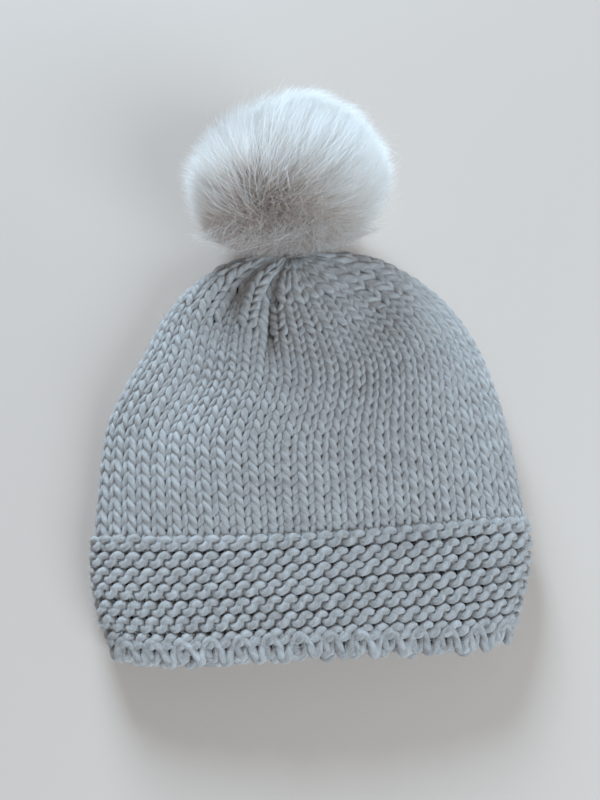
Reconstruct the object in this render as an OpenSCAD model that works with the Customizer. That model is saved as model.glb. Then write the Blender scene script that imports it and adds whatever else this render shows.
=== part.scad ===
// Hand-knitted beanie with a press-stud fur pom pom, lying on its back.
// +Y runs from the brim opening to the pom, +Z is up, and the underside is at z = 0.

/* [Crown] */
// Widest half-width of the lying crown
crown_half_width = 112; // [95:1:125]
// Distance from the brim edge to the gathered tip, along the table
crown_reach = 212.5; // [190:0.5:235]
// Height of the front layer above the table where the crown leaves the band
crown_low_height = 30; // [26:1:36]
// How far the front layer swells between the band and the tip
crown_swell = 50; // [42:1:58]
// Thickness of the stockinette fabric
fabric = 5.5; // [4:0.1:6.5]

/* [Band] */
// Distance from the brim edge to the top of the garter band
band_top = 61; // [50:1:70]
// How far the garter band stands proud of the crown
band_proud = 2; // [1:0.1:3]
// Half-width of the band at its lower end
band_low_half_width = 98; // [90:1:108]
// Height of the front layer at the lower end of the band
band_low_height = 26; // [24:1:30]
// Length of the cast-on loops below the band
edge_length = 9; // [7:0.5:11]
// How far the brim edge draws back at the two side folds
edge_recess = 6; // [0:1:20]

/* [Pom] */
// Half of the pom's diameter across the fur
fur_radius = 59; // [54:0.5:64]
// Fur from the middle of the pom to its far side, along its own axis
fur_above = 50; // [46:1:56]
// Fur from the middle of the pom to its flattened base, along its own axis
fur_below = 42; // [38:1:43]
// Distance from the gathered tip to the middle of the pom
pom_reach = 50; // [48:0.5:54]
// How far the pom's axis leans up from the table
pom_lean = 26; // [15:1:32]
// Half of the stuffed ball's diameter under the fur
pelt_radius = 31; // [27:0.5:34]
// Thickness of the knitted backing of the fur
pelt_thickness = 1.5; // [1:0.1:2]

/* [Press stud] */
// Half of the diameter of the stud and of the socket
snap_radius = 7.5; // [6.5:0.1:8.5]
// Distance from the snap's axis to its sewing holes
sewing_circle = 5.3; // [5:0.1:5.6]
// Half of the diameter of a sewing hole
sewing_hole = 0.9; // [0.8:0.05:1]
// Half of the diameter of the stiff disc that closes the pom
base_disc_radius = 17; // [15:0.5:18]
// Half of the diameter of the backing button inside the crown
button_radius = 8; // [7:0.5:9]

/* [Hidden] */

yarn_colour = [0.80, 0.76, 0.71];
seam_colour = [0.76, 0.72, 0.67];
fur_colour = [0.88, 0.85, 0.80];
pelt_colour = [0.72, 0.66, 0.58];
thread_colour = [0.85, 0.82, 0.77];
steel_colour = [0.66, 0.67, 0.69];
button_colour = [0.90, 0.89, 0.85];

// The pom rests on the table, and its centre sets the height of the gathered tip.
pom_z = norm([fur_below * sin(pom_lean), fur_radius * cos(pom_lean)]);
tip_z = pom_z - pom_reach * sin(pom_lean);
far_end = crown_reach + pom_reach * cos(pom_lean)
    + norm([fur_above * cos(pom_lean), fur_radius * sin(pom_lean)]);
// The brim edge's place in the frame, whose origin is under the middle of the whole object.
brim_y = -far_end / 2;
lean_axis = [0, cos(pom_lean), sin(pom_lean)];
lean_up = [0, -sin(pom_lean), cos(pom_lean)];

// The knitted shell is drawn with this many points round each loop.
loop_points = 48;
// Rings between the band and the tip.
crown_rings = 18;
band_rings = 4;
// Half-height of the side folds, and the half-width of the hole left at the tip.
fold_z = 12;
hole_radius = 6.2;
// The crown's rim sits this far below the pivot, along the pom's axis.
rim_drop = 1.5;
// How square the loops are above and below the folds, and the outline's own squareness.
front_power = 2.3;
back_power = 4.5;
outline_power = 2.9;
heel_power = 6;
// The underside dips this far below the table before it is pressed flat.
pressed = 1;
// The middle of the stuffed ball, along the pom's axis from the tip.
pelt_centre = 40.5;
// The seam's ridge and the yarn ends inside.
seam_width = 9;
seam_height = 3;
yarn = 4;

function tip(inset) = [0, crown_reach, tip_z] - (rim_drop + inset) * lean_axis;

// Points on the crown's three guide lines; turn runs from 0 at the band to 90 at the tip.
function fold_line(turn, inset) =
    let (
        c = pow(cos(turn), 2 / outline_power),
        s = pow(sin(turn), 2 / outline_power),
        end = tip(inset),
        rise = (end.z - fold_z) / cos(pom_lean),
        span = end.y - band_top + rise * sin(pom_lean),
        lift = rise * pow(1 - c, 5)
    )
    [hole_radius + (crown_half_width - inset - hole_radius) * c,
        band_top + span * s - lift * sin(pom_lean), fold_z + lift * cos(pom_lean)];

function front_line(turn, inset) =
    let (
        s = pow(sin(turn), 0.8),
        end = tip(inset) + hole_radius * lean_up,
        low = crown_low_height - inset,
        swell = crown_swell - inset
    )
    [0, band_top + (end.y - band_top) * s,
        low * (1 - s) * (1 - s) + 2 * swell * s * (1 - s) + end.z * s * s];

function back_line(turn, inset) =
    let (
        end = tip(inset) - hole_radius * lean_up,
        drop = inset - pressed
    )
    [0, band_top + (end.y - band_top) * pow(sin(turn), 2 / heel_power),
        drop + (end.z - drop) * (1 - pow(cos(turn), 2 / heel_power))];

function signed_pow(value, power) = sign(value) * pow(abs(value), power);

// One closed loop of points through a fold point, a front point and a back point.
function loop(fold, front, back, front_n, back_n, low) =
    [for (i = [0 : loop_points - 1])
        let (
            turn = 360 * i / loop_points,
            n = sin(turn) >= 0 ? front_n : back_n,
            side = signed_pow(cos(turn), 2 / n),
            rise = pow(abs(sin(turn)), 2 / n),
            middle = [0, fold.y, fold.z],
            target = sin(turn) >= 0 ? front : back,
            p = middle + (target - middle) * rise
        )
        [fold.x * side, p.y, max(low, p.z)]];

function crown_loop(turn, inset) =
    let (round_off = pow(cos(turn), 0.7))
    loop(fold_line(turn, inset), front_line(turn, inset), back_line(turn, inset),
        2 + (front_power - 2) * round_off, 2 + (back_power - 2) * round_off, inset);

// step runs from 0 at the cast-on edge to 1 at the top of the band.
function band_loop(step, inset) =
    let (
        top_half = crown_half_width + band_proud,
        top_front = crown_low_height + band_proud,
        half = band_low_half_width + (top_half - band_low_half_width) * sin(90 * step),
        front = band_low_height + (top_front - band_low_height) * step,
        y = edge_length + (band_top - edge_length) * step,
        flat = loop([half - inset, y, fold_z], [0, y, front - inset], [0, y, inset - pressed],
            front_power, back_power, inset)
    )
    [for (p = flat) p + [0, edge_recess * (1 - step) * pow(abs(p.x) / half, 7), 0]];

// A closed tube of rings: each ring is joined to the next, and the last one to the first.
module ring_shell(rings) {
    n = len(rings[0]);
    m = len(rings);
    polyhedron(
        points = [for (ring = rings) each ring],
        faces = [for (r = [0 : m - 1]) for (i = [0 : n - 1])
            let (
                a = r * n + i,
                b = r * n + (i + 1) % n,
                c = ((r + 1) % m) * n + (i + 1) % n,
                d = ((r + 1) % m) * n + i
            )
            each [[a, b, c], [a, c, d]]]
    );
}

module in_frame() {
    translate([0, brim_y, 0]) children();
}

// Children stand on the gathered tip with their own z along the pom's axis.
module on_pom_axis() {
    in_frame() translate([0, crown_reach, tip_z]) rotate([pom_lean - 90, 0, 0]) children();
}

module at_sewing_holes(height) {
    for (turn = [45 : 90 : 315]) rotate(turn) translate([sewing_circle, 0, height]) children();
}

module ring_of_thread(major, minor, height) {
    translate([0, 0, height]) rotate_extrude($fn = 64) translate([major, 0]) circle(r = minor, $fn = 24);
}

// A half-outline of points round an oval, for turning about the pom's axis.
function oval(radius, up, down, from, to, steps) =
    [for (i = [0 : steps])
        let (turn = from + (to - from) * i / steps)
        [radius * cos(turn), sin(turn) * (sin(turn) > 0 ? up : down)]];

module crown_knit() {
    outer = [for (i = [0 : crown_rings]) crown_loop(90 * i / crown_rings, 0)];
    inner = [for (i = [crown_rings : -1 : 0]) crown_loop(90 * i / crown_rings, fabric)];
    color(yarn_colour) in_frame() ring_shell(concat(outer, inner));
}

module brim_band() {
    wall = fabric + band_proud;
    outer = [for (i = [0 : band_rings]) band_loop(i / band_rings, 0)];
    inner = [for (i = [band_rings : -1 : 0]) band_loop(i / band_rings, wall)];
    color(yarn_colour) in_frame() ring_shell(concat(outer, inner));
}

// The picot-like loops of the cast-on row, as one rounded rim along the mouth.
module cast_on_edge() {
    wall = fabric + band_proud;
    clearance = 0.5;
    bulge = 0.6;
    outer = band_loop(0, 0);
    inner = band_loop(0, wall);
    turns = [90, 60, 25, 0, -25, -60, -90];
    rings = [for (turn = turns)
        [for (i = [0 : loop_points - 1])
            let (
                middle = (outer[i] + inner[i]) / 2,
                across = (outer[i] - inner[i]) / norm(outer[i] - inner[i]),
                p = middle + across * (wall / 2 + bulge) * sin(turn)
                    - [0, clearance + (edge_length - clearance) * cos(turn), 0]
            )
            [p.x, p.y, max(0, p.z)]]];
    color(yarn_colour) in_frame() ring_shell([for (i = [len(rings) - 1 : -1 : 0]) rings[i]]);
}

// Mattress-stitched selvedges, a low ridge inside the back layer.
module back_seam() {
    seam_start = band_top + 2;
    seam_end = 168;
    color(seam_colour) in_frame() translate([0, seam_start, fabric])
        rotate([-90, 0, 0]) linear_extrude(seam_end - seam_start) intersection() {
            scale([seam_width / seam_height / 2, 1]) circle(r = seam_height, $fn = 32);
            translate([-seam_width, -seam_height]) square([2 * seam_width, seam_height]);
        }
}

// The cast-on yarn's end, woven along the inside of the band.
module cast_on_tail() {
    color(yarn_colour) in_frame() translate([80, 16, fabric + band_proud + yarn / 2])
        rotate([-90, 0, -12]) cylinder(d = yarn, h = 36, $fn = 32);
}

// The last yarn, drawn through the live stitches and pulled tight.
module crown_drawstring() {
    minor = 1.9;
    color(yarn_colour) on_pom_axis()
        ring_of_thread(hole_radius - minor, minor, -rim_drop - 0.3 - minor);
}

module drawstring_knot() {
    knot = 3.4;
    color(yarn_colour) on_pom_axis() translate([0, -4.6, -16.4]) {
        sphere(r = knot, $fn = 32);
        translate([1.6, 0, -3]) sphere(r = knot - 0.6, $fn = 32);
    }
}

// The drawstring's end, hanging inside the crown below the knot.
module crown_tail() {
    color(yarn_colour) on_pom_axis() translate([1.6, -4.6, -22.2]) rotate([180, 0, 0])
        cylinder(d = yarn, h = 38, $fn = 32);
}

module backing_button() {
    color(button_colour) on_pom_axis() translate([0, 0, -12]) difference() {
        union() {
            cylinder(r = button_radius, h = 1.4, $fn = 64);
            ring_of_thread(button_radius - 1, 1, 1.0);
        }
        for (turn = [45 : 90 : 315]) rotate(turn) translate([1.7, 0, -1])
            cylinder(r = 0.75, h = 5, $fn = 24);
    }
}

// Four strands from the backing button up through the gathered tip.
module anchor_stitching() {
    strand = 0.55;
    color(thread_colour) on_pom_axis() {
        for (turn = [45 : 90 : 315]) rotate(turn) translate([1.7, 0, -12.6])
            cylinder(r = strand, h = 11.1, $fn = 24);
        for (turn = [45, 135]) rotate(turn) translate([-1.7, 0, -12.6]) rotate([0, 90, 0])
            cylinder(r = strand, h = 3.4, $fn = 24);
    }
}

// The wound thread between crown and stud, with a rounded root at each of its two pivots.
module thread_shank() {
    color(thread_colour) on_pom_axis() {
        translate([0, 0, 0.4]) sphere(r = 1.5, $fn = 48);
        translate([0, 0, 3]) sphere(r = 1.4, $fn = 48);
        translate([0, 0, 0.4]) cylinder(r = 1.2, h = 2.6, $fn = 48);
        for (height = [1.2, 1.7, 2.2]) ring_of_thread(1.2, 0.28, height);
    }
}

module snap_stud() {
    color(steel_colour) on_pom_axis() difference() {
        union() {
            translate([0, 0, 4.8]) cylinder(r = snap_radius, h = 1, $fn = 64);
            translate([0, 0, 4.8]) cylinder(r = 3, h = 1.3, $fn = 64);
            translate([0, 0, 4.8]) cylinder(r = 1.5, h = 3.2, $fn = 64);
            translate([0, 0, 7.7]) sphere(r = 2.05, $fn = 48);
        }
        at_sewing_holes(4) cylinder(r = sewing_hole, h = 3, $fn = 32);
        translate([0, 0, 8.6]) cylinder(r = 5, h = 3, $fn = 32);
    }
}

// One wrap of thread through each hole and round the rim of the stud.
module stud_stitching() {
    strand = 0.35;
    reach = snap_radius + strand - sewing_circle;
    wrap = 1 + 2 * strand;
    color(thread_colour) on_pom_axis() at_sewing_holes(4.8 - strand) {
        for (x = [0, reach]) translate([x, 0, 0]) cylinder(r = strand, h = wrap, $fn = 24);
        for (z = [0, wrap]) translate([0, 0, z]) rotate([0, 90, 0])
            cylinder(r = strand, h = reach, $fn = 24);
    }
}

// An open ring of spring wire, caught in the socket's groove.
module socket_spring() {
    color(steel_colour) on_pom_axis() translate([0, 0, 6.95])
        rotate_extrude(angle = 320, $fn = 64) translate([2.75, 0]) circle(r = 0.35, $fn = 24);
}

module snap_socket() {
    color(steel_colour) on_pom_axis() difference() {
        union() {
            translate([0, 0, 6.2]) cylinder(r = 4.4, h = 3.2, $fn = 64);
            translate([0, 0, 8.4]) cylinder(r = snap_radius, h = 1, $fn = 64);
        }
        translate([0, 0, 6]) cylinder(r = 2.9, h = 3, $fn = 64);
        translate([0, 0, 6.5]) cylinder(r = 3.9, h = 1, $fn = 64);
        at_sewing_holes(8) cylinder(r = sewing_hole, h = 3, $fn = 32);
    }
}

// One wrap of thread through each hole of the socket, round its rim and into the disc.
module socket_stitching() {
    strand = 0.5;
    reach = snap_radius + 0.7 - sewing_circle;
    color(thread_colour) on_pom_axis() at_sewing_holes(7.8) {
        cylinder(r = strand, h = 3.6, $fn = 24);
        translate([reach, 0, 0]) cylinder(r = strand, h = 1.6, $fn = 24);
        rotate([0, 90, 0]) cylinder(r = strand, h = reach, $fn = 24);
    }
}

module pom_base_disc() {
    color(pelt_colour) on_pom_axis() translate([0, 0, 9.45]) difference() {
        union() {
            cylinder(r = base_disc_radius, h = 1, $fn = 96);
            ring_of_thread(base_disc_radius, 0.5, 0.5);
        }
        at_sewing_holes(-1) cylinder(r = sewing_hole, h = 3, $fn = 32);
    }
}

// The doubled thread that draws the mouth of the pelt together.
module pom_gather_thread() {
    color(thread_colour) on_pom_axis() ring_of_thread(12.6, 0.6, 11.1);
}

// The pelt's half-outline about its own middle, from its mouth to its far side.
function pelt_outline(inset, mouth = -66) =
    oval(pelt_radius - inset, pelt_radius - 1 - inset, pelt_radius - inset, mouth, 90, 26);

module pom_pelt() {
    outer = pelt_outline(0);
    inner = pelt_outline(pelt_thickness);
    color(pelt_colour) on_pom_axis() translate([0, 0, pelt_centre]) rotate_extrude($fn = 96)
        polygon(concat(outer, [for (i = [len(inner) - 1 : -1 : 0]) inner[i]]));
}

module pom_filling() {
    inset = pelt_thickness + 0.2;
    color(fur_colour) on_pom_axis() translate([0, 0, pelt_centre]) rotate_extrude($fn = 96)
        polygon(concat([[0, -(pelt_radius - inset) * sin(66)]], pelt_outline(inset)));
}

// The standing fur: a soft, slightly flattened ball round the pelt.
module fur_pile() {
    gap = 0.2;
    outer = oval(fur_radius, fur_above, fur_below, -69.5, 90, 30);
    inner = [for (p = pelt_outline(-gap, -50)) p + [0, pelt_centre - pom_reach]];
    color(fur_colour) on_pom_axis() translate([0, 0, pom_reach]) rotate_extrude($fn = 96)
        polygon(concat(outer, [for (i = [len(inner) - 1 : -1 : 0]) inner[i]]));
}

crown_knit();
brim_band();
cast_on_edge();
back_seam();
cast_on_tail();
crown_drawstring();
drawstring_knot();
crown_tail();
backing_button();
anchor_stitching();
thread_shank();
snap_stud();
stud_stitching();
socket_spring();
snap_socket();
socket_stitching();
pom_base_disc();
pom_gather_thread();
pom_pelt();
pom_filling();
fur_pile();
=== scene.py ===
"""Hand-knitted beanie with a fur pom pom: every yarn strand and every tuft of the fur as geometry."""
import math

import bpy
import numpy as np
from mathutils import Matrix, Vector


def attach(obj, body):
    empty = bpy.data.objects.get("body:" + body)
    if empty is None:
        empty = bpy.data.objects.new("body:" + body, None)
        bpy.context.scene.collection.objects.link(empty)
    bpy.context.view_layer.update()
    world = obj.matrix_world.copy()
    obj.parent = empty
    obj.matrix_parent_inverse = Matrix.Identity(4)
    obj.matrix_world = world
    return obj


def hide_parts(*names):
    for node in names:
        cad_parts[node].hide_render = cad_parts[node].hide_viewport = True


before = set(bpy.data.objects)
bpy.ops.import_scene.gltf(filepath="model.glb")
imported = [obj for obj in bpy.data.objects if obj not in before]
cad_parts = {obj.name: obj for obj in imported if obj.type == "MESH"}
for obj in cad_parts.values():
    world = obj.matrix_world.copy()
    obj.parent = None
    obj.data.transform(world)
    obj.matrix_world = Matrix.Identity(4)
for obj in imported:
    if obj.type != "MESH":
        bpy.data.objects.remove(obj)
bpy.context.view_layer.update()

# ---------------------------------------------------------------- the hat's own sizes, in millimetres
LEAN = math.radians(26)
AXIS = np.array([0, math.cos(LEAN), math.sin(LEAN)])
UP = np.array([0, -math.sin(LEAN), math.cos(LEAN)])
CROWN_HALF, CROWN_REACH, CROWN_LOW, CROWN_SWELL = 112, 212.5, 30, 50
BAND_TOP, BAND_PROUD, BAND_HALF, BAND_LOW = 61, 2, 98, 26
EDGE, EDGE_RECESS, FOLD_Z, HOLE, RIM = 9, 6, 12, 6.2, 1.5
FUR_RADIUS, FUR_ABOVE, FUR_BELOW, POM_REACH = 59, 50, 42, 50
PELT_RADIUS, PELT_CENTRE = 31, 40.5
POM_Z = math.hypot(FUR_BELOW * math.sin(LEAN), FUR_RADIUS * math.cos(LEAN))
TIP = np.array([0, CROWN_REACH, POM_Z - POM_REACH * math.sin(LEAN)])
FAR_END = CROWN_REACH + POM_REACH * AXIS[1] + math.hypot(FUR_ABOVE * AXIS[1], FUR_RADIUS * AXIS[2])
BRIM_Y = -FAR_END / 2

# ---------------------------------------------------------------- the knitting's counts
STITCHES, CROWN_ROWS, BAND_ROWS = 58, 29, 14
# The fabric's grid has this many points to a stitch and to a row, and some below the first row.
FINE = 8
CROWN_BELOW, BAND_BELOW = 9, 24
# Stitches are lost at the first of these rows; from the second, the gathering thread draws the loops long.
DECREASE_ROW, DRAWN_ROW = 21, 25


def power(value, exponent):
    """A power that keeps the sign."""
    return np.sign(value) * np.abs(value) ** exponent


def crown_surface(turn, angle, inset):
    """Points of the crown's skin, inset below it. turn is 0 at the band and a right angle at the tip."""
    c, s = np.clip(np.cos(turn), 0, 1), np.clip(np.sin(turn), 0, 1)
    end = TIP - (RIM + inset) * AXIS
    rise = (end[2] - FOLD_Z) / math.cos(LEAN)
    span = end[1] - BAND_TOP + rise * math.sin(LEAN)
    wide = c ** (2 / 2.9)
    lift = rise * (1 - wide) ** 5
    fold_x = HOLE + (CROWN_HALF - inset - HOLE) * wide
    fold_y = BAND_TOP + span * s ** (2 / 2.9) - lift * math.sin(LEAN)
    fold_z = FOLD_Z + lift * math.cos(LEAN)
    top, low, swell, f = end + HOLE * UP, CROWN_LOW - inset, CROWN_SWELL - inset, s**0.8
    front_y = BAND_TOP + (top[1] - BAND_TOP) * f
    front_z = low * (1 - f) ** 2 + 2 * swell * f * (1 - f) + top[2] * f**2
    under, drop = end - HOLE * UP, inset - 1
    back_y = BAND_TOP + (under[1] - BAND_TOP) * s ** (1 / 3)
    back_z = drop + (under[2] - drop) * (1 - c ** (1 / 3))
    front = np.sin(angle) >= 0
    n = 2 + np.where(front, 0.3, 2.5) * c**0.7
    up = np.abs(np.sin(angle)) ** (2 / n)
    x = fold_x * power(np.cos(angle), 2 / n)
    y = fold_y + (np.where(front, front_y, back_y) - fold_y) * up
    z = fold_z + (np.where(front, front_z, back_z) - fold_z) * up
    return np.stack([x, y, np.maximum(z, inset)], -1)


def band_surface(step, angle, inset):
    """Points of the band's skin, inset below it. step is 0 at the cast-on row and 1 at the crown."""
    half = BAND_HALF + (CROWN_HALF + BAND_PROUD - BAND_HALF) * np.sin(step * math.pi / 2)
    rise = BAND_LOW + (CROWN_LOW + BAND_PROUD - BAND_LOW) * step
    front = np.sin(angle) >= 0
    n = np.where(front, 2.3, 4.5)
    up = np.abs(np.sin(angle)) ** (2 / n)
    x = (half - inset) * power(np.cos(angle), 2 / n)
    z = FOLD_Z + (np.where(front, rise - inset, inset - 1) - FOLD_Z) * up
    y = EDGE + (BAND_TOP - EDGE) * step + EDGE_RECESS * (1 - step) * (np.abs(x) / half) ** 7
    return np.stack([x, y + 0 * z, np.maximum(z, inset)], -1)


def even(points, axis, places):
    """The same lines, with points at these shares of each line's length."""
    points = np.moveaxis(points, axis, 0)
    along = np.zeros(points.shape[:-1])
    along[1:] = np.cumsum(np.linalg.norm(np.diff(points, axis=0), axis=-1), 0)
    along /= along[-1]
    out = np.empty((len(places),) + points.shape[1:])
    for k in range(points.shape[1]):
        for d in range(3):
            out[:, k, d] = np.interp(places, along[:, k], points[:, k, d])
    return np.moveaxis(out, 0, axis)


def unit(v):
    return v / np.maximum(np.linalg.norm(v, axis=-1, keepdims=True), 1e-9)


def facing(points):
    """Outward directions on a grid of (rows, columns) that closes round its columns."""
    across = np.roll(points, -1, 1) - np.roll(points, 1, 1)
    along = np.gradient(points, axis=0)
    return unit(np.cross(along, across))


def smooth(low, high, x):
    """Rises from 0 at low to 1 at high, without corners."""
    t = np.clip((x - low) / (high - low), 0, 1)
    return t * t * (3 - 2 * t)


class Fabric:
    """A grid of the fabric's middle: whole numbers are stitches across and rows along."""

    def __init__(self, points, start):
        self.points, self.start = points, start
        self.normals = facing(points)
        self.width = np.linalg.norm(np.roll(points, -1, 1) - np.roll(points, 1, 1), axis=-1) * FINE / 2

    def at(self, row, stitch):
        """Places on the fabric, its outward directions there, and how wide a stitch is."""
        r = np.clip((row - self.start) * FINE, 0, len(self.points) - 1.001)
        c = np.mod(stitch * FINE, STITCHES * FINE)
        r0, c0 = r.astype(int), c.astype(int) % (STITCHES * FINE)
        fr, fc = (r - r0)[..., None], (c - np.floor(c))[..., None]
        c1 = (c0 + 1) % (STITCHES * FINE)

        def mix(grid):
            return (grid[r0, c0] * (1 - fr) + grid[r0 + 1, c0] * fr) * (1 - fc) + (
                grid[r0, c1] * (1 - fr) + grid[r0 + 1, c1] * fr
            ) * fc

        return mix(self.points), unit(mix(self.normals)), mix(self.width[..., None])[..., 0]


ANGLES = np.linspace(-math.pi / 2, 1.5 * math.pi, 1441)
SHARES = np.arange(STITCHES * FINE + 1) / (STITCHES * FINE)

# Folds where the crown is gathered: share round the hat, half-width, depth, and the share up the crown
# where it starts.
FOLDS = [
    (0.570, 0.010, -8.0, 0.55),
    (0.603, 0.016, 3.4, 0.60),
    (0.640, 0.022, -4.2, 0.60),
    (0.705, 0.030, 3.6, 0.60),
    (0.522, 0.014, 2.2, 0.80),
    (0.470, 0.014, -2.6, 0.80),
    (0.395, 0.028, -5.2, 0.58),
    (0.315, 0.026, 4.6, 0.64),
    (0.262, 0.018, -3.0, 0.74),
    (0.200, 0.022, 2.0, 0.74),
    (0.120, 0.022, -2.0, 0.76),
    (0.800, 0.022, -3.0, 0.74),
    (0.870, 0.022, 2.0, 0.76),
]
# Broad, shallow unevenness of a soft fabric: share round the hat, half-width, share up the crown,
# half-length, depth.
HOLLOWS = [(0.43, 0.055, 0.62, 0.17, -4.5), (0.652, 0.036, 0.50, 0.20, -7.0), (0.55, 0.04, 0.38, 0.18, 1.5)]
# One side of the crown has slumped inwards: shares of its half-width, and between which y they take hold.
SLUMP = [(0.038, 20, 61), (0.120, 112, 170), (0.030, 172, 205)]
BAND_SLUMP = 0.040

# How far the soft lower part has settled towards the brim: across the hat, at the brim, at the band's top.
SETTLED_X = (-112, -70, -25, 20, 60, 112)
SETTLED_BRIM = (6.5, 5.8, 5.2, 5.6, 7.2, 9.5)
SETTLED_BAND = (2.0, 6.0, 8.6, 9.2, 7.6, 4.5)


def settled(grid):
    """The grid, moved towards the brim where the fabric has settled."""
    x, y = grid[..., 0], grid[..., 1]
    brim, top = np.interp(x, SETTLED_X, SETTLED_BRIM), np.interp(x, SETTLED_X, SETTLED_BAND)
    moved = (brim + (top - brim) * np.clip(y / BAND_TOP, 0, 1)) * (1 - smooth(BAND_TOP, 165, y))
    return grid - np.stack([0 * x, moved, 0 * x], -1)


def stitch_shares():
    """Shares round the hat, one for each column of the grid."""
    return (np.arange(STITCHES * FINE) / (STITCHES * FINE))[None, :]


def crown_fabric(inset):
    turn = math.pi / 2 * (1 - (1 - np.linspace(0, 1, 401)) ** 1.6)
    grid = crown_surface(turn[:, None], ANGLES[None, :], inset)
    drawn = sum(amount * smooth(low, high, grid[..., 1]) for amount, low, high in SLUMP)
    grid[..., 0] *= 1 - np.where(grid[..., 0] < 0, drawn, 0) * smooth(0, 25, -grid[..., 0])
    grid = settled(grid)
    row = np.arange(CROWN_ROWS * FINE + 1) / FINE
    share = row + 0.5 * np.maximum(row - DRAWN_ROW, 0) ** 1.2
    grid = even(grid, 0, share / share[-1])
    grid = even(grid, 1, SHARES)[:, :-1]
    first = grid[0] - grid[1]
    below = np.arange(CROWN_BELOW, 0, -1)
    hem = grid[0] + below[:, None, None] * first * np.array([0.0, 1, 0.4])
    grid = np.concatenate([hem, grid])
    rho = np.concatenate([-below / FINE, row])[:, None] / CROWN_ROWS
    u = stitch_shares()
    girth = np.linalg.norm(np.roll(grid, -1, 1) - grid, axis=-1).sum(1)[:, None]
    push = np.zeros((len(rho), STITCHES * FINE))
    for place, spread, depth, start in FOLDS:
        swell = smooth(start, start + 0.2, rho) * (1 - 0.8 * smooth(0.83, 0.98, rho))
        wide = np.sqrt(spread**2 + (2.6 / girth) ** 2)
        push += depth * swell * np.exp(-(((u - place) / wide) ** 2))
    for place, wide, middle, tall, depth in HOLLOWS:
        push += depth * np.exp(-(((u - place) / wide) ** 2) - ((rho - middle) / tall) ** 2)
    ripple = 0.7 * np.sin(2 * math.pi * (3 * u + 0.3 + 0.8 * rho))
    push += ripple * smooth(0.05, 0.3, rho) * np.sin(u * math.pi)
    grid = grid + facing(grid) * push[..., None]
    return Fabric(grid, -CROWN_BELOW / FINE)


def band_fabric(inset):
    step = np.linspace(0, 1, 201)
    grid = band_surface(step[:, None], ANGLES[None, :], inset)
    drawn = np.where(grid[..., 0] < 0, BAND_SLUMP, 0) * smooth(0, 25, -grid[..., 0])
    grid[..., 0] *= 1 - drawn * smooth(0.1, 1, step)[:, None]
    grid = settled(grid)
    grid = even(grid, 0, np.arange(BAND_ROWS * FINE + 1) / (BAND_ROWS * FINE))
    grid = even(grid, 1, SHARES)[:, :-1]
    below = np.arange(BAND_BELOW, 0, -1)
    first = grid[0] - grid[1]
    hem = grid[0] + below[:, None, None] * first * np.array([0.6, 1, 0.0])
    under_crown = grid[-1:] + (grid[-1:] - grid[-2:-1]) * np.arange(1, FINE + 1)[:, None, None]
    grid = np.concatenate([hem, grid, under_crown])
    u = stitch_shares()
    r = (np.arange(len(grid))[:, None] / FINE - BAND_BELOW / FINE) / BAND_ROWS
    push = 0.9 * np.sin(2 * math.pi * (2.5 * u + 0.1)) * np.sin(math.pi * u) * (1 - 0.4 * r)
    grid = grid + facing(grid) * push[..., None]
    return Fabric(grid, -BAND_BELOW / FINE)


# ---------------------------------------------------------------- meshes


def mesh(name, verts, faces, attributes=None, uv=None, smooth_faces=True):
    """verts in millimetres in the hat's own place; faces all have the same number of corners."""
    data = bpy.data.meshes.new(name)
    verts = (np.asarray(verts, float) + [0, BRIM_Y, 0]) * 0.001
    corners = faces.shape[1]
    data.vertices.add(len(verts))
    data.vertices.foreach_set("co", verts.astype(np.float32).ravel())
    data.loops.add(faces.size)
    data.loops.foreach_set("vertex_index", faces.astype(np.int32).ravel())
    data.polygons.add(len(faces))
    data.polygons.foreach_set("loop_start", np.arange(0, faces.size, corners, dtype=np.int32))
    if smooth_faces:
        data.polygons.foreach_set("use_smooth", np.ones(len(faces), bool))
    for key, values in (attributes or {}).items():
        values = np.asarray(values, np.float32)
        if values.ndim == 1:
            data.attributes.new(key, "FLOAT", "POINT").data.foreach_set("value", values)
        else:
            data.attributes.new(key, "FLOAT_VECTOR", "POINT").data.foreach_set("vector", values.ravel())
    if uv is not None:
        data.uv_layers.new(name="OFBake").data.foreach_set("uv", uv.astype(np.float32).ravel())
    data.update()
    data.validate()
    obj = bpy.data.objects.new(name, data)
    bpy.context.scene.collection.objects.link(obj)
    return obj


def cells(across, down, corners):
    """The corners of each cell of a grid over the unit square, in the order given."""
    u, v = np.meshgrid(np.arange(across) / across, np.arange(down) / down, indexing="ij")
    return np.stack([np.stack([u + du / across, v + dv / down], -1) for du, dv in corners], 2)


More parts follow.
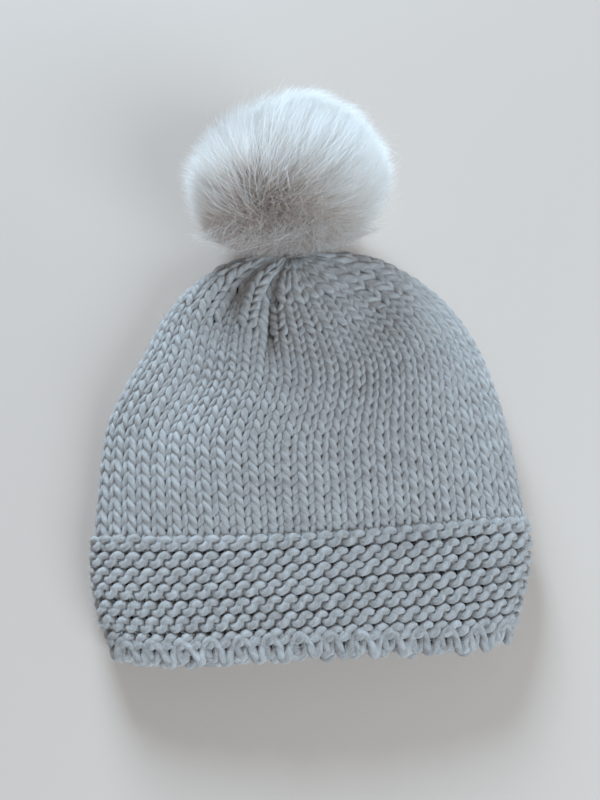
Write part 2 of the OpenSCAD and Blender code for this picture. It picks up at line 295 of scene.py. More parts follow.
def tubes(centres, towards, radius, sides, closed, pitch):
    """Round strands along centres (strands, points, 3). towards sets where each ring's top is."""
    k, m, _ = centres.shape
    if closed:
        tangent = np.roll(centres, -1, 1) - np.roll(centres, 1, 1)
        step = np.linalg.norm(np.roll(centres, -1, 1) - centres, axis=-1)
    else:
        tangent = np.gradient(centres, axis=1)
        step = np.linalg.norm(np.diff(centres, axis=1, append=centres[:, -1:]), axis=-1)
    tangent = unit(tangent)
    side = unit(np.cross(tangent, towards))
    top = np.cross(side, tangent)
    angle = 2 * math.pi * np.arange(sides) / sides
    radius = np.broadcast_to(radius, (k, m))
    ring = np.cos(angle)[:, None] * side[:, :, None] + np.sin(angle)[:, None] * top[:, :, None]
    verts = centres[:, :, None] + radius[:, :, None, None] * ring
    length = np.cumsum(step, 1) - step
    spun = angle[None, None, :] - 2 * math.pi * length[:, :, None] / pitch
    strand = np.stack([np.cos(spun), np.sin(spun), np.broadcast_to(length[:, :, None], spun.shape)], -1)
    index = np.arange(k * m * sides).reshape(k, m, sides)
    here, then = (index, np.roll(index, -1, 1)) if closed else (index[:, :-1], index[:, 1:])
    faces = np.stack([here, then, np.roll(then, -1, 2), np.roll(here, -1, 2)], -1).reshape(-1, 4)
    count = here.shape[1]
    corner = cells(count, sides, [(0, 0), (1, 0), (1, 1), (0, 1)])
    uv = np.broadcast_to(corner, (k, count, sides, 4, 2)).copy()
    uv[..., 1] = (uv[..., 1] * 0.92 + 0.04 + np.arange(k)[:, None, None, None]) / k
    return verts.reshape(-1, 3), faces, strand.reshape(-1, 3), uv.reshape(-1, 2)


def yarn_piece(name, centres, towards, radius, sides, closed, pitch=13.0, tone=None):
    """Strands of yarn as one piece, which lies on the table and not in it."""
    verts, faces, strand, uv = tubes(centres, towards, radius, sides, closed, pitch)
    verts[:, 2] = np.maximum(verts[:, 2], 0.02)
    attributes = {"strand": strand}
    if tone is not None:
        attributes["tone"] = np.repeat(np.broadcast_to(tone, centres.shape[:2]).ravel(), sides)
    return mesh(name, verts, faces, attributes, uv)


# ---------------------------------------------------------------- knitting

POINTS = 24
YARN = 2.02
PLAIN_STITCH = 7.9
# One loop's path from left to right: across (in stitches), along (in rows), out of the fabric, thickness.
STOCKING = [
    (0.00, -1.02, -1.00, 0.92), (0.27, -0.98, -0.80, 0.85), (0.46, -0.80, 0.45, 0.78),
    (0.32, -0.32, 1.15, 1.10), (0.165, 0.27, 0.75, 1.08), (0.13, 0.68, -0.25, 0.90),
    (0.50, 0.92, -1.40, 0.80), (0.85, 0.68, -0.30, 0.88), (0.845, 0.27, 0.58, 0.92),
    (0.79, -0.32, 0.95, 0.98), (0.62, -0.80, 0.40, 0.76), (0.75, -0.98, -0.80, 0.85),
]
GARTER_KNIT = [
    (0.00, -0.85, -1.00, 0.92), (0.25, -0.80, -0.90, 0.92), (0.34, -0.40, -0.40, 0.92),
    (0.24, 0.00, 0.20, 0.96), (0.18, 0.34, 0.70, 1.00), (0.25, 0.80, 1.15, 1.04),
    (0.50, 1.06, 1.10, 1.08), (0.76, 0.88, 0.60, 1.02), (0.84, 0.45, -0.05, 0.98),
    (0.72, 0.05, -0.25, 0.95), (0.64, -0.40, -0.50, 0.92), (0.75, -0.80, -0.90, 0.92),
]
GARTER_PURL = [
    (-0.12, -1.10, 1.00, 1.06), (0.10, -0.92, 1.25, 1.06), (0.24, -0.50, 1.10, 1.00),
    (0.30, -0.10, 0.20, 0.96), (0.34, 0.40, -0.50, 0.92), (0.25, 0.80, -0.90, 0.92),
    (0.50, 0.90, -1.00, 0.92), (0.75, 0.80, -0.90, 0.92), (0.66, 0.40, -0.50, 0.92),
    (0.60, -0.10, -0.45, 0.95), (0.58, -0.50, -0.05, 0.96), (0.70, -0.92, 0.60, 1.02),
]
CAST_ON = [
    (0.00, 0.95, 0.95, 1.04), (0.17, 0.62, 0.85, 1.00), (0.28, 0.02, 0.70, 0.98),
    (0.355, -0.60, 0.62, 1.02), (0.39, -1.15, 0.55, 1.10), (0.425, -1.60, 0.32, 1.16),
    (0.50, -1.80, 0.12, 1.18), (0.575, -1.60, 0.25, 1.16), (0.61, -1.15, 0.42, 1.10),
    (0.645, -0.60, 0.48, 1.02), (0.72, 0.02, 0.52, 0.98), (0.83, 0.62, 0.70, 1.00),
]


def bell(t):
    return np.sin(math.pi * t) ** 2


def between(a, b, c, d, f):
    """A share f of the way from b to c, on the smooth curve through a, b, c and d."""
    return 0.5 * (2 * b + (c - a) * f + (2 * a - 5 * b + 4 * c - d) * f**2 + (3 * b - a - 3 * c + d) * f**3)


def loop_path(points, count):
    """A smooth path through a loop's points; the next loop starts one stitch further on."""
    points = np.array(points)
    n = len(points)
    t = np.arange(count) * n / count
    i = t.astype(int)
    f = (t - i)[:, None]

    def at(k):
        return points[k % n] + np.stack([k // n, 0 * k, 0 * k, 0 * k], -1)

    return between(at(i - 1), at(i), at(i + 1), at(i + 2), f)


def knit_row(fabric, row, points, depth, radius, seed, count=STITCHES, loose=1.0, first=0.0, sway=0.03):
    """One closed row of loops, counted from left to right as the front is seen.

    loose is how far the loops differ from each other, first how many loops the row starts further on, and
    sway how far the whole row wanders along the fabric.
    """
    chance = np.random.default_rng(seed)
    path = loop_path(points, POINTS)
    t = np.arange(POINTS) / POINTS
    own = chance.normal(0, loose, (6, count, 1))
    bends = chance.normal(0, 1, 9)
    bends[-1] = bends[0]
    slow = np.interp(np.arange(count)[:, None] + t, np.linspace(0, count, 9), bends)
    x = path[:, 0] + (0.020 * own[0] + 0.018 * own[1] * np.sin(2 * math.pi * t)) * bell(t)
    y = path[:, 1] * (1 + 0.03 * own[2] * bell(t)) + 0.035 * own[3] * bell(t) + sway * slow
    z = depth * path[:, 2] + 0.13 * own[4] * bell(t)
    stitch = -(first + np.arange(count)[:, None] + x) * STITCHES / count
    p, n, w = fabric.at(np.full_like(stitch, row) + y, stitch)
    pinch = np.clip(w * STITCHES / count / PLAIN_STITCH, 0.12, 1.15)
    thick = radius * pinch**0.42 * path[:, 3] * (1 + 0.03 * own[5] * bell(t))
    centre = p + n * (z * np.clip(pinch, 0.35, 1) ** 0.5)[..., None]
    tone = np.broadcast_to(0.5 + 0.04 * own[1] + 0.03 * slow, stitch.shape)
    return centre.reshape(1, -1, 3), n.reshape(1, -1, 3), thick.reshape(1, -1), tone.reshape(1, -1)


def knit(name, rows):
    """Rows with the same number of loops, as one piece."""
    centre, normal, thick, tone = (np.concatenate(x) for x in zip(*rows))
    return yarn_piece(name, centre, normal, thick, 8, True, tone=tone)


def knit_parts(name, row, parts):
    """One piece for each range of rows."""
    return [knit(f"{name}_{i + 1}", map(row, range(*part))) for i, part in enumerate(parts)]


def stocking(r):
    """Row r of the crown's stockinette."""
    if r < DECREASE_ROW:
        return knit_row(crown, r + 0.5, STOCKING, 1.35, YARN * 0.885, 100 + r)
    if r < DRAWN_ROW:
        return knit_row(crown, r + 0.5, STOCKING, 1.45, YARN * 0.93, 100 + r, STITCHES * 2 // 3 + 1, 1.2)
    return knit_row(crown, r + 0.5, STOCKING, 1.5, YARN * 1.05, 100 + r, STITCHES // 2, 1.5)


def garter(r):
    """Row r of the band's garter stitch. A knit row and the purl row above it wander together."""
    points = GARTER_PURL if r % 2 else GARTER_KNIT
    return knit_row(band, r + 0.5, points, 2.15, YARN * 0.90, 400 + r // 2, sway=0.09)


def hanging(row, points, depth, thick, seed, first):
    """A row of cast-on loops, one for two stitches."""
    return knit_row(band, row, points, depth, YARN * thick, seed, STITCHES // 2, 2.4, first)


crown = crown_fabric(2.75)
band = band_fabric(3.7)

CROWN_PARTS = [(-1, 7), (7, 14), (14, DECREASE_ROW), (DECREASE_ROW, DRAWN_ROW), (DRAWN_ROW, CROWN_ROWS)]
BAND_PARTS = [(0, 7), (7, BAND_ROWS)]
crown_pieces = knit_parts("crown_rows", stocking, CROWN_PARTS)
band_pieces = knit_parts("band_rows", garter, BAND_PARTS)
SHORTER = [(x, y * 0.74, z - 0.22, w) for x, y, z, w in CAST_ON]
INSIDE = [(x, y * 0.8, -z - 0.25, w) for x, y, z, w in CAST_ON]
edge_piece = knit(
    "cast_on_loops",
    [
        hanging(0.0, CAST_ON, 2.6, 0.90, 900, 0.0),
        hanging(0.1, SHORTER, 2.4, 0.84, 902, 0.5),
        hanging(-0.1, INSIDE, 2.6, 0.84, 901, 0.25),
    ],
)


def skin(name, fabric, low, high, every=2):
    """A plain surface through the middle of the fabric, which closes the gaps between loops."""
    rows = np.arange(int((low - fabric.start) * FINE), int((high - fabric.start) * FINE) + 1, every)
    rows = rows[rows < len(fabric.points)]
    grid = fabric.points[rows][:, ::every] - fabric.normals[rows][:, ::every] * 0.5
    m, k = grid.shape[:2]
    index = np.arange(m * k).reshape(m, k)
    here, then = index[:-1], index[1:]
    faces = np.stack([here, np.roll(here, -1, 1), np.roll(then, -1, 1), then], -1).reshape(-1, 4)
    uv = cells(m - 1, k, [(0, 0), (0, 1), (1, 1), (1, 0)])
    verts = grid.reshape(-1, 3).copy()
    verts[:, 2] = np.maximum(verts[:, 2], 0.4)
    return mesh(name, verts, faces, None, uv.reshape(-1, 2))


# Both skins are coloured near-black: painted shade in the gaps between the loops.
crown_skin = skin("crown_gap_shade", crown, -0.6, 28.9)
band_skin = skin("band_gap_shade", band, -0.6, 14.3)


def strand_line(points, count):
    """A smooth line through given points."""
    points = np.asarray(points, float)
    t = np.linspace(0, len(points) - 1, count)
    padded = np.concatenate([2 * points[:1] - points[1:2], points, 2 * points[-1:] - points[-2:-1]])
    i = np.clip(t.astype(int), 0, len(points) - 2)
    return between(padded[i], padded[i + 1], padded[i + 2], padded[i + 3], (t - i)[:, None])


def on_axis(x, up, w):
    """A place given across the pom's axis, up from it, and along it from the crown's tip."""
    return TIP + np.array([x, 0, 0]) + UP * up + AXIS * w


def loose_strand(name, points, radius, count, towards, pitch=11.0):
    """A strand of its own, with rounded ends."""
    line = strand_line(points, count)[None]
    ends = np.minimum(np.arange(count), np.arange(count)[::-1]) / 3.0
    thick = radius * np.sqrt(np.clip(1 - (1 - np.clip(ends, 0.0, 1)) ** 2, 0.02, 1))
    ref = np.broadcast_to(unit(np.array(towards, float)), line.shape)
    return yarn_piece(name, line, ref, thick[None], 10, False, pitch)


# The yarn ends: one inside the crown, in on_axis's terms, and one woven in at the cast-on.
CROWN_END = [(1.6, 4.6, -20), (1.9, 4.4, -30), (1.2, 4.7, -42), (1.6, 4.6, -53), (1.6, 4.6, -59.5)]
CAST_ON_END = [(80, 16.2, 9.5), (81.8, 24, 9.9), (83.6, 33, 9.3), (85.4, 42, 9.8), (87.3, 51, 9.5)]
END_RADIUS = 1.9
tail_piece = loose_strand("crown_yarn_end", [on_axis(*at) for at in CROWN_END], END_RADIUS, 60, (1, 0, 0.1))
edge_tail = loose_strand("cast_on_yarn_end", CAST_ON_END, END_RADIUS, 56, (0, 0.1, 1))


def drawn_yarn(radius=4.3, depth=-3.7):
    """The ring of yarn that draws the tip together."""
    around = np.linspace(0, 2 * math.pi, 97)[:-1]
    places = [(radius * math.cos(a), radius * math.sin(a), depth + 0.25 * math.sin(3 * a)) for a in around]
    ring = np.stack([on_axis(*at) for at in places])[None]
    return yarn_piece("drawn_yarn", ring, np.broadcast_to(AXIS, ring.shape), 1.75, 10, True, 9.0)


def yarn_knot(radius=1.9, depth=-15.2):
    """The knot that fastens the drawn yarn off: a few close turns."""
    line = [
        on_axis(0.6 + radius * math.cos(a) * (1 - 0.02 * i), 4.6 + radius * math.sin(a), depth - 0.42 * i)
        for i, a in enumerate(np.linspace(0, 4.6 * math.pi, 16))
    ]
    return loose_strand("yarn_knot", line, 1.7, 110, (0.2, 0.1, 1), 9.0)


draw_piece = drawn_yarn()
knot_piece = yarn_knot()

SEAM_LOOPS, SEAM_POINTS, SEAM_START, SEAM_LENGTH = 22, 16, 63.5, 104


def seam():
    """Loops that climb up the inside of the back on either side of its middle."""
    t = np.arange(0, SEAM_LOOPS * SEAM_POINTS + 1) / SEAM_POINTS
    x = 2.3 * np.sin(2 * math.pi * t)
    y = SEAM_START + SEAM_LENGTH * t / SEAM_LOOPS + 1.1 * np.sin(4 * math.pi * t)
    z = 6.7 + 0.8 * np.cos(2 * math.pi * t * 2)
    line = np.stack([x, y, z], -1)[None]
    return yarn_piece("seam_yarn", line, np.broadcast_to([0, 0, 1.0], line.shape), 1.75, 8, False, 10.0)


seam_piece = seam()

# ---------------------------------------------------------------- fuzz


def ribbons(line, width, chance, taper=0.9):
    """Hairs as thin two-sided strips. Returns verts, faces, share along, uv."""
    count, points, _ = line.shape
    segments = points - 1
    tangent = unit(np.gradient(line, axis=1))
    side = unit(np.cross(tangent, unit(chance.normal(0, 1, (count, 1, 3)))))
    share = np.linspace(0, 1, points)
    wide = width * chance.uniform(0.7, 1.3, (count, 1)) * (1 - share**2.0 * taper)[None]
    left = line - side * wide[..., None] / 2
    right = line + side * wide[..., None] / 2
    verts = np.stack([left, right], 2).reshape(-1, 3)
    index = np.arange(count * points * 2).reshape(count, points, 2)
    here, then = index[:, :-1], index[:, 1:]
    faces = np.stack([here[..., 0], here[..., 1], then[..., 1], then[..., 0]], -1).reshape(-1, 4)
    along = np.broadcast_to(share[None, :, None], (count, points, 2)).reshape(-1)
    # Each hair has its own square of the UV map.
    grid = int(math.ceil(math.sqrt(count)))
    cell = np.stack([np.arange(count) % grid, np.arange(count) // grid], -1) / grid
    near = np.arange(segments) / segments
    far = near + 1 / segments
    across = np.stack([near, near, far, far], -1)
    corner = np.stack([across, np.broadcast_to([0.0, 1.0, 1.0, 0.0], across.shape)], -1) / grid
    return verts, faces, along, (cell[:, None, None, :] + corner[None]).reshape(-1, 2)


def fuzz_piece(name, fabric, low, high, count, lift, seed):
    """Loose fibres between rows low and high, rooted up to lift millimetres above the fabric's middle."""
    chance = np.random.default_rng(seed)
    row, stitch = chance.uniform(low, high, count), chance.uniform(0, STITCHES, count)
    p, n, _ = fabric.at(row, stitch)
    lie = unit(chance.normal(0, 1, (count, 3)))
    aim = unit(n * chance.uniform(0.1, 1.0, (count, 1)) + lie)
    span = chance.uniform(1.4, 4.2, (count, 1))
    t = np.linspace(0, 1, 4)[None, :, None]
    curl = unit(chance.normal(0, 1, (count, 3)))
    start = p + n * (lift * chance.uniform(0.55, 1.0, (count, 1)))
    line = start[:, None] + (aim * span)[:, None] * t + (curl * span * 0.35)[:, None] * np.sin(t * 2.6)
    line[..., 2] = np.maximum(line[..., 2], 0.05)
    verts, faces, _, uv = ribbons(line, FUZZ, chance, 0.6)
    return mesh(name, verts, faces, None, uv, smooth_faces=False)


FUZZ, SHARE = ((0.085, 1.0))
fuzz_pieces = [
    fuzz_piece("crown_fuzz", crown, 0, CROWN_ROWS - 0.5, int(24000 * SHARE), 3.0, 71),
    fuzz_piece("band_fuzz", band, 0, BAND_ROWS, int(14000 * SHARE), 4.2, 72),
    fuzz_piece("edge_fuzz", band, -2.0, 0.6, int(2600 * SHARE), 3.6, 73),
]

# ---------------------------------------------------------------- fur

# How far down the pom its fur is rooted, and where the fringe at its base ends, as shares of the pelt's
# radius.
BASE, FRINGE_TOP = -0.93, -0.30


def local(points):
    """From the pom's own place (across, up, along its axis) to the hat's."""
    return TIP + points[..., :1] * np.array([1, 0, 0]) + points[..., 1:2] * UP + points[..., 2:] * AXIS


def sphere_directions(count, lowest, chance):
    """Evenly spread directions, from the far side down to sin = lowest along the axis."""
    i = np.arange(count) + 0.5
    w = 1 - (1 - lowest) * i / count
    a = math.pi * (1 + 5**0.5) * i + chance.normal(0, 0.3, count)
    w = np.clip(w + chance.normal(0, 0.6, count) / count**0.5, lowest, 1)
    s = np.sqrt(1 - w * w)
    return np.stack([s * np.cos(a), s * np.sin(a), w], -1)


def fur_reach(direction):
    """How far the fur stands from its middle along each direction."""
    along = direction[..., 2]
    tall = np.where(along > 0, FUR_ABOVE, FUR_BELOW)
    return 1 / np.sqrt((1 - along**2) / FUR_RADIUS**2 + (along / tall) ** 2)


def wave(points, seed, scale):
    """Smooth made-up values between -1 and 1 that change over about 1/scale."""
    chance = np.random.default_rng(seed)
    out = 0
    for _ in range(6):
        k = chance.normal(0, scale, 3)
        out = out + np.sin(points @ k + chance.uniform(0, 6.28))
    return out / 3.4


def brushing(head):
    """Which way each tuft has been brushed: towards the far right, and parts here and there."""
    swirl = np.stack([wave(head, 11, 2.0), wave(head, 12, 2.0), wave(head, 13, 2.0)], -1)
    brushed = np.array([0.55, -0.30, 0.70]) * (0.20 + 0.95 * smooth(-0.1, 0.8, head[:, 1:2]))
    brushed = brushed + np.array([-0.6, 0, -0.1]) * smooth(-0.15, -0.8, head[:, :1])
    flow = brushed * smooth(-1.0, -0.6, head[:, 2:]) + 0.42 * swirl
    return flow - (flow * head).sum(-1, keepdims=True) * head, swirl


def painted_shade(root, head):
    """How much painted shade darkens the hairs where the fur parts low in front, and at the pom's base."""
    parted_shade = smooth(-0.10, -0.70, root[:, 2] + 0.20 * wave(head, 41, 1.6)) * smooth(-0.4, 0.2, root[:, 1])
    return 0.24 * parted_shade + 0.46 * smooth(-0.55, -0.92, root[:, 2])


def fur(count, clumps, seed, width, length, segments, stray=False, fringe=False):
    """Hairs as thin ribbons: stray ones stand alone, and a fringe lies over the crown round the pom's base.

    Returns verts, faces, share along, tone, uv.
    """
    chance = np.random.default_rng(seed)
    root = sphere_directions(count, BASE, chance)
    if fringe:
        root[:, 2] = BASE + (FRINGE_TOP - BASE) * chance.random(count)
        root[:, :2] = unit(root[:, :2]) * np.sqrt(1 - root[:, 2:] ** 2)
    heads = sphere_directions(clumps, BASE, np.random.default_rng(3))
    owner = np.concatenate([(part @ heads.T).argmax(1) for part in np.array_split(root, 24)])
    head = heads[owner]
    flow, swirl = brushing(head)
    ruffled = smooth(-0.05, -0.6, root[:, 2:]) * smooth(-0.3, 0.4, root[:, 1:2])
    own = chance.normal(0, 0.20 if stray else 0.10, (count, 3)) * (1 + 2.2 * ruffled)
    gather = 0.1 if stray else (0.18 + 0.40 * chance.random((count, 1)))
    aim = unit(root * (1 - gather) + head * gather + 0.95 * flow + own)
    if fringe:
        aim = unit(np.stack([root[:, 0], root[:, 1], np.full(count, -0.42)], -1) + own * 1.6 + 0.15 * swirl)
    tuft = 0.035 * np.random.default_rng(5).normal(0, 1, clumps)[owner]
    clump_length = 1 + 0.05 * wave(heads, 21, 3.0)[owner] + tuft
    reach = fur_reach(aim) * clump_length * length * (1 - 0.15 * chance.random(count) ** 1.5)
    start = root * (PELT_RADIUS - 0.5) + [0, 0, PELT_CENTRE]
    end = aim * reach[:, None] * [0.965, 1, 0.88] + [0.0, 0, POM_REACH - 10.8]
    # Near its base the fur hangs down over the crown.
    low = (smooth(-0.25, -0.90, root[:, 2]) * (1 - 0.8 * smooth(0.3, 0.75, np.abs(root[:, 0]))))[:, None]
    end = end + low * np.array([0, 0, -1]) * (7 + 7 * chance.random((count, 1)))
    if fringe:
        out = 17 + 30 * chance.random(count) ** 0.8
        drop = -9 + 9 * chance.random(count) + 8 * smooth(15, 50, np.abs(out * aim[:, 0]))
        end = np.stack([out * aim[:, 0] * 1.25 - 2, out * aim[:, 1] * 1.25, drop], -1)
    bend = start + root * (np.linalg.norm(end - start, axis=-1) * (0.30 if fringe else 0.50))[:, None]
    bend = bend + 1.5 * chance.normal(0, 1, (count, 3))
    t = np.linspace(0, 1, segments + 1)[None, :, None]
    line = (1 - t) ** 2 * start[:, None] + 2 * t * (1 - t) * bend[:, None] + t**2 * end[:, None]
    curl = chance.normal(0, 1, (count, 1, 3))
    curl = curl * np.sin(t * math.pi * 1.7 + chance.uniform(0, 6.28, (count, 1, 1)))
    line = line + curl * 0.6 * t
    # The crown is in the way below, and the fur hangs lowest in front of the tip and to its left.
    across, up = line[..., 0], line[..., 1]
    stop = 0.5 + 11 * smooth(18, 60, np.abs(across)) + 9 * smooth(0, -12, up)
    hang = 8.5 + 6.5 * smooth(2, -20, across) * (1 - smooth(34, 54, np.abs(across)))
    line[..., 2] = np.maximum(line[..., 2], stop - hang * smooth(9, 26, up))
    line = local(line)
    line[..., 2] = np.maximum(line[..., 2], 0.2 + 0.6 * chance.random((count, 1)))
    verts, faces, along, uv = ribbons(line, width, chance)
    # The tone varies at random from tuft to tuft and hair to hair, less the painted shade.
    tone = 0.5 + 0.16 * wave(heads, 31, 4.0)[owner] + 0.12 * chance.normal(0, 1, count) - painted_shade(root, head)
    tone = np.broadcast_to(tone[:, None, None], (count, segments + 1, 2)).reshape(-1)
    return verts, faces, along, tone, uv


def fur_piece(name, *args, **options):
    verts, faces, along, tone, uv = fur(*args, **options)
    return mesh(name, verts, faces, {"along": along, "tone": tone}, uv, smooth_faces=False)


HAIRS, HAIR = ((15500, 0.24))
fur_pieces = [fur_piece(f"fur_{i + 1}", HAIRS, 700, 50 + i, HAIR, 1.06, 6) for i in range(5)]
fur_pieces.append(fur_piece("fur_base", HAIRS // 2, 700, 58, HAIR, 1.0, 6, fringe=True))
fur_pieces.append(fur_piece("fur_guard_hairs", 2400, 300, 60, 0.13, 1.16, 9, stray=True))

# ---------------------------------------------------------------- materials


def material(name, colour, roughness=0.8):
    """A new material, its node tree and its shader."""
    m = bpy.data.materials.new(name)
    m.use_nodes = True
    shader = m.node_tree.nodes["Principled BSDF"]
    shader.inputs["Base Color"].default_value = (*colour, 1)
    shader.inputs["Roughness"].default_value = roughness
    return m, m.node_tree, shader


def add(tree, kind, **settings):
    n = tree.nodes.new(kind)
    for key, value in settings.items():
        setattr(n, key, value)
    return n


def maths(tree, operation, a, b=None):
    n = add(tree, "ShaderNodeMath", operation=operation)
    for i, x in enumerate((a, b)):
        if x is None:
            continue
        if isinstance(x, (int, float)):
            n.inputs[i].default_value = x
        else:
            tree.links.new(x, n.inputs[i])
    return n.outputs[0]


def ramp(tree, value, stops):
    n = add(tree, "ShaderNodeValToRGB")
    while len(n.color_ramp.elements) < len(stops):
        n.color_ramp.elements.new(0.5)
    for e, (place, colour) in zip(n.color_ramp.elements, stops):
        e.position = place
        e.color = (*colour, 1)
    tree.links.new(value, n.inputs[0])
    return n.outputs[0]


def bumps(tree, shader, height, strength, distance):
    bump = add(tree, "ShaderNodeBump")
    bump.inputs["Strength"].default_value = strength
    bump.inputs["Distance"].default_value = distance
    tree.links.new(height, bump.inputs["Height"])
    tree.links.new(bump.outputs[0], shader.inputs["Normal"])


def yarn_material(name, dark, mid, light, ply=2.0):
    """Yarn whose plies and fibres wind round each strand, from the strand attribute of the tubes."""
    m, tree, shader = material(name, mid, 0.85)
    strand = add(tree, "ShaderNodeAttribute", attribute_name="strand")
    tone = add(tree, "ShaderNodeAttribute", attribute_name="tone")
    parts = add(tree, "ShaderNodeSeparateXYZ")
    tree.links.new(strand.outputs["Vector"], parts.inputs[0])
    angle = maths(tree, "ARCTAN2", parts.outputs[1], parts.outputs[0])
    plies = maths(tree, "SINE", maths(tree, "MULTIPLY", angle, ply))
    combine = add(tree, "ShaderNodeCombineXYZ")
    for i, stretch in enumerate((3.2, 3.2, 0.11)):
        tree.links.new(maths(tree, "MULTIPLY", parts.outputs[i], stretch), combine.inputs[i])
    fibre = add(tree, "ShaderNodeTexNoise")
    fibre.inputs["Scale"].default_value = 2.2
    fibre.inputs["Detail"].default_value = 6
    fibre.inputs["Roughness"].default_value = 0.65
    tree.links.new(combine.outputs[0], fibre.inputs["Vector"])
    height = maths(tree, "ADD", maths(tree, "MULTIPLY", plies, 0.22), fibre.outputs[0])
    bumps(tree, shader, height, 0.8, 0.0009)
    by_strand = maths(
        tree, "ADD", maths(tree, "MULTIPLY", plies, 0.05), maths(tree, "MULTIPLY", tone.outputs["Fac"], 0.38)
    )
    value = maths(tree, "ADD", maths(tree, "MULTIPLY", fibre.outputs[0], 0.62), by_strand)
    tree.links.new(ramp(tree, value, [(0.30, dark), (0.52, mid), (0.74, light)]), shader.inputs["Base Color"])
    shader.inputs["Specular IOR Level"].default_value = 0.25
    shader.inputs["Sheen Weight"].default_value = 0.35
    shader.inputs["Sheen Roughness"].default_value = 0.5
    return m


def shade_sheet_material(name, dark, light):
    """Yarn between the loops, coloured near-black as painted shade."""
    m, tree, shader = material(name, (0.22, 0.19, 0.165), 0.95)
    noise = add(tree, "ShaderNodeTexNoise")
    noise.inputs["Scale"].default_value = 300
    tree.links.new(ramp(tree, noise.outputs[0], [(0.35, dark), (0.65, light)]), shader.inputs["Base Color"])
    return m


YARN_COLOURS = (0.27, 0.23, 0.205), (0.51, 0.472, 0.445), (0.68, 0.645, 0.615)
YARN_MATERIAL = yarn_material("knitting_yarn", *YARN_COLOURS)
FUZZ_MATERIAL, _, _ = material("yarn_fibres", (0.64, 0.61, 0.58), 0.8)
# Near-black colours: painted shade between the loops.
GAP_SHADE = shade_sheet_material("painted_shade_between_loops", (0.055, 0.040, 0.032), (0.11, 0.085, 0.068))

# Taupe at the root, cream at the tip.
FUR_COLOURS = [
    (0.02, (0.40, 0.27, 0.20)),
    (0.28, (0.74, 0.61, 0.53)),
    (0.50, (0.93, 0.875, 0.82)),
    (0.80, (0.965, 0.95, 0.93)),
]


def fur_material(name):
    """Hair that lets light through; its colour changes from root to tip and from tuft to tuft, and darkens
    with painted shade where the fur parts low in front and at the pom's base.
    """
    m, tree, shader = material(name, (0.85, 0.82, 0.77), 0.62)
    along = add(tree, "ShaderNodeAttribute", attribute_name="along")
    tone = add(tree, "ShaderNodeAttribute", attribute_name="tone")
    off_middle = maths(tree, "SUBTRACT", tone.outputs["Fac"], 0.5)
    value = maths(tree, "ADD", along.outputs["Fac"], maths(tree, "MULTIPLY", off_middle, 0.8))
    colour = ramp(tree, value, FUR_COLOURS)
    tree.links.new(colour, shader.inputs["Base Color"])
    shader.inputs["Specular IOR Level"].default_value = 0.3
    through = add(tree, "ShaderNodeBsdfTranslucent")
    tree.links.new(colour, through.inputs["Color"])
    mix = add(tree, "ShaderNodeMixShader")
    mix.inputs[0].default_value = 0.5
    tree.links.new(shader.outputs[0], mix.inputs[1])
    tree.links.new(through.outputs[0], mix.inputs[2])
    tree.links.new(mix.outputs[0], tree.nodes["Material Output"].inputs[0])
    return m


FUR_MATERIAL = fur_material("long_fur")


def speckled(name, dark, light, scale, roughness, bump_strength=0.2, metallic=0.0):
    m, tree, shader = material(name, light, roughness)
    noise = add(tree, "ShaderNodeTexNoise")
    noise.inputs["Scale"].default_value = scale
    noise.inputs["Detail"].default_value = 4
    tree.links.new(ramp(tree, noise.outputs[0], [(0.35, dark), (0.65, light)]), shader.inputs["Base Color"])
    shader.inputs["Metallic"].default_value = metallic
    bumps(tree, shader, noise.outputs[0], bump_strength, 0.0003)
    return m


PELT_MATERIAL = speckled("knitted_backing", (0.36, 0.29, 0.23), (0.47, 0.39, 0.32), 900, 0.95, 0.6)
STUFFING_MATERIAL = speckled("polyester_stuffing", (0.80, 0.80, 0.78), (0.90, 0.90, 0.88), 240, 0.95, 0.8)
THREAD_MATERIAL = speckled("sewing_thread", (0.62, 0.58, 0.51), (0.74, 0.70, 0.63), 2500, 0.7, 0.5)
STEEL_MATERIAL = speckled("plated_steel", (0.62, 0.62, 0.63), (0.72, 0.72, 0.73), 700, 0.28, 0.05, 1.0)
BUTTON_MATERIAL = speckled("cast_button", (0.78, 0.77, 0.72), (0.84, 0.83, 0.79), 60, 0.3, 0.02)


def finish_with(obj, m):
    obj.data.materials.clear()
    obj.data.materials.append(m)


# ---------------------------------------------------------------- what each piece belongs to


def belongs(obj, m, body, node):
    """Gives a piece its material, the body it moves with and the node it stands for."""
    finish_with(obj, m)
    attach(obj, body)
    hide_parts(node)


for obj in crown_pieces:
    belongs(obj, YARN_MATERIAL, "hat", "crown_knit")
for obj in band_pieces:
    belongs(obj, YARN_MATERIAL, "hat", "brim_band")
belongs(edge_piece, YARN_MATERIAL, "hat", "cast_on_edge")
belongs(tail_piece, YARN_MATERIAL, "hat", "crown_tail")
belongs(edge_tail, YARN_MATERIAL, "hat", "cast_on_tail")
belongs(draw_piece, YARN_MATERIAL, "hat", "crown_drawstring")
belongs(knot_piece, YARN_MATERIAL, "hat", "drawstring_knot")
belongs(seam_piece, YARN_MATERIAL, "hat", "back_seam")
for obj, node in zip(fuzz_pieces, ("crown_knit", "brim_band", "cast_on_edge")):
    belongs(obj, FUZZ_MATERIAL, "hat", node)
belongs(crown_skin, GAP_SHADE, "hat", "crown_knit")
belongs(band_skin, GAP_SHADE, "hat", "brim_band")
for obj in fur_pieces:
    belongs(obj, FUR_MATERIAL, "pom", "fur_pile")

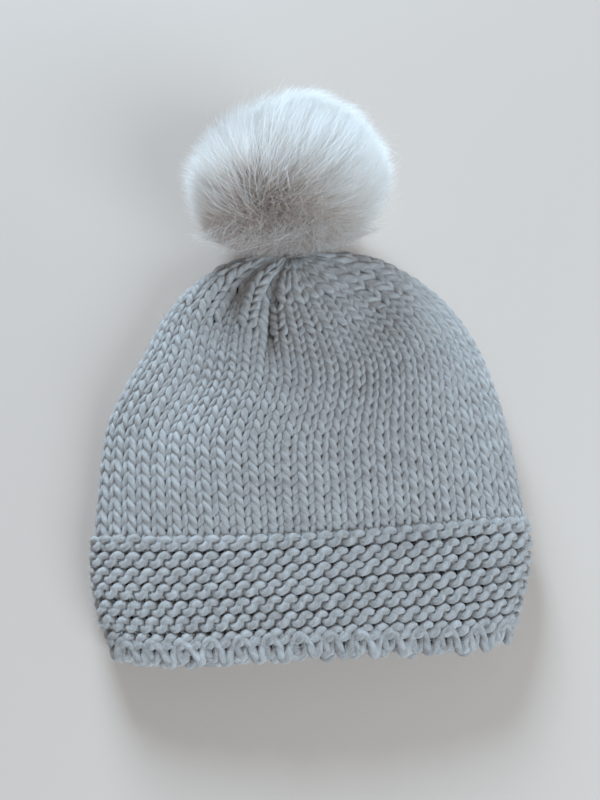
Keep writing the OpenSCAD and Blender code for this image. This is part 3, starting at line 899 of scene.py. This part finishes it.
# Nodes that keep their shapes from the frame.
SHOWN = {
    "backing_button": (BUTTON_MATERIAL, "button"),
    "anchor_stitching": (THREAD_MATERIAL, "thread"),
    "thread_shank": (THREAD_MATERIAL, "thread"),
    "snap_stud": (STEEL_MATERIAL, "snap_steel"),
    "stud_stitching": (THREAD_MATERIAL, "thread"),
    "socket_spring": (STEEL_MATERIAL, "snap_steel"),
    "snap_socket": (STEEL_MATERIAL, "snap_steel"),
    "socket_stitching": (THREAD_MATERIAL, "thread"),
    "pom_base_disc": (PELT_MATERIAL, "backing"),
    "pom_gather_thread": (THREAD_MATERIAL, "thread"),
    "pom_pelt": (PELT_MATERIAL, "backing"),
    "pom_filling": (STUFFING_MATERIAL, "stuffing"),
}
for name, (m, slot) in SHOWN.items():
    finish_with(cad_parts[name], m)

# ---------------------------------------------------------------- table, light and camera

bpy.ops.mesh.primitive_plane_add(size=6, location=(0, 0, 0))
floor = bpy.context.object
floor.name = "studio_floor"
FLOOR, _, _ = material("studio_floor", (0.62, 0.50, 0.42), 0.9)
finish_with(floor, FLOOR)


def area_light(name, place, towards, size, power_w, colour):
    data = bpy.data.lights.new(name, "AREA")
    data.shape = "DISK"
    data.size = size
    data.energy = power_w
    data.color = colour
    obj = bpy.data.objects.new(name, data)
    obj.location = place
    obj.rotation_mode = "QUATERNION"
    obj.rotation_quaternion = (Vector(towards) - Vector(place)).to_track_quat("-Z", "Y")
    bpy.context.scene.collection.objects.link(obj)
    return obj


area_light("window_light", (-0.60, 2.9, 1.20), (0, 0.05, 0.03), 1.3, 192, (0.57, 0.79, 1.0))
area_light("front_light", (0.75, -0.95, 0.75), (0, -0.10, 0.03), 0.8, 18, (0.62, 0.82, 1.0))
world = bpy.data.worlds.new("studio")
bpy.context.scene.world = world
world.use_nodes = True
sky = world.node_tree.nodes["Background"]
sky.inputs["Color"].default_value = (0.88, 0.93, 1.0, 1)
sky.inputs["Strength"].default_value = 0.34

CAMERA_PLACE = (-0.0074, -0.1612, 0.324)
DOWNWARDS, SIDEWAYS = 66.5, 3.2
camera_data = bpy.data.cameras.new("camera")
camera_data.lens = 27.45
camera_data.sensor_width = 36
camera = bpy.data.objects.new("camera", camera_data)
bpy.context.scene.collection.objects.link(camera)
pitch, yaw = math.radians(DOWNWARDS), math.radians(SIDEWAYS)
ahead = Vector((math.sin(yaw) * math.cos(pitch), math.cos(yaw) * math.cos(pitch), -math.sin(pitch)))
right = Vector((math.cos(yaw), -math.sin(yaw), 0))
above = (-ahead).cross(right)
turned = Matrix((right, above, -ahead)).transposed().to_4x4()
camera.matrix_world = Matrix.Translation(CAMERA_PLACE) @ turned
camera_data.clip_start = 0.01
bpy.context.scene.camera = camera
bpy.context.scene.view_settings.view_transform = "Standard"
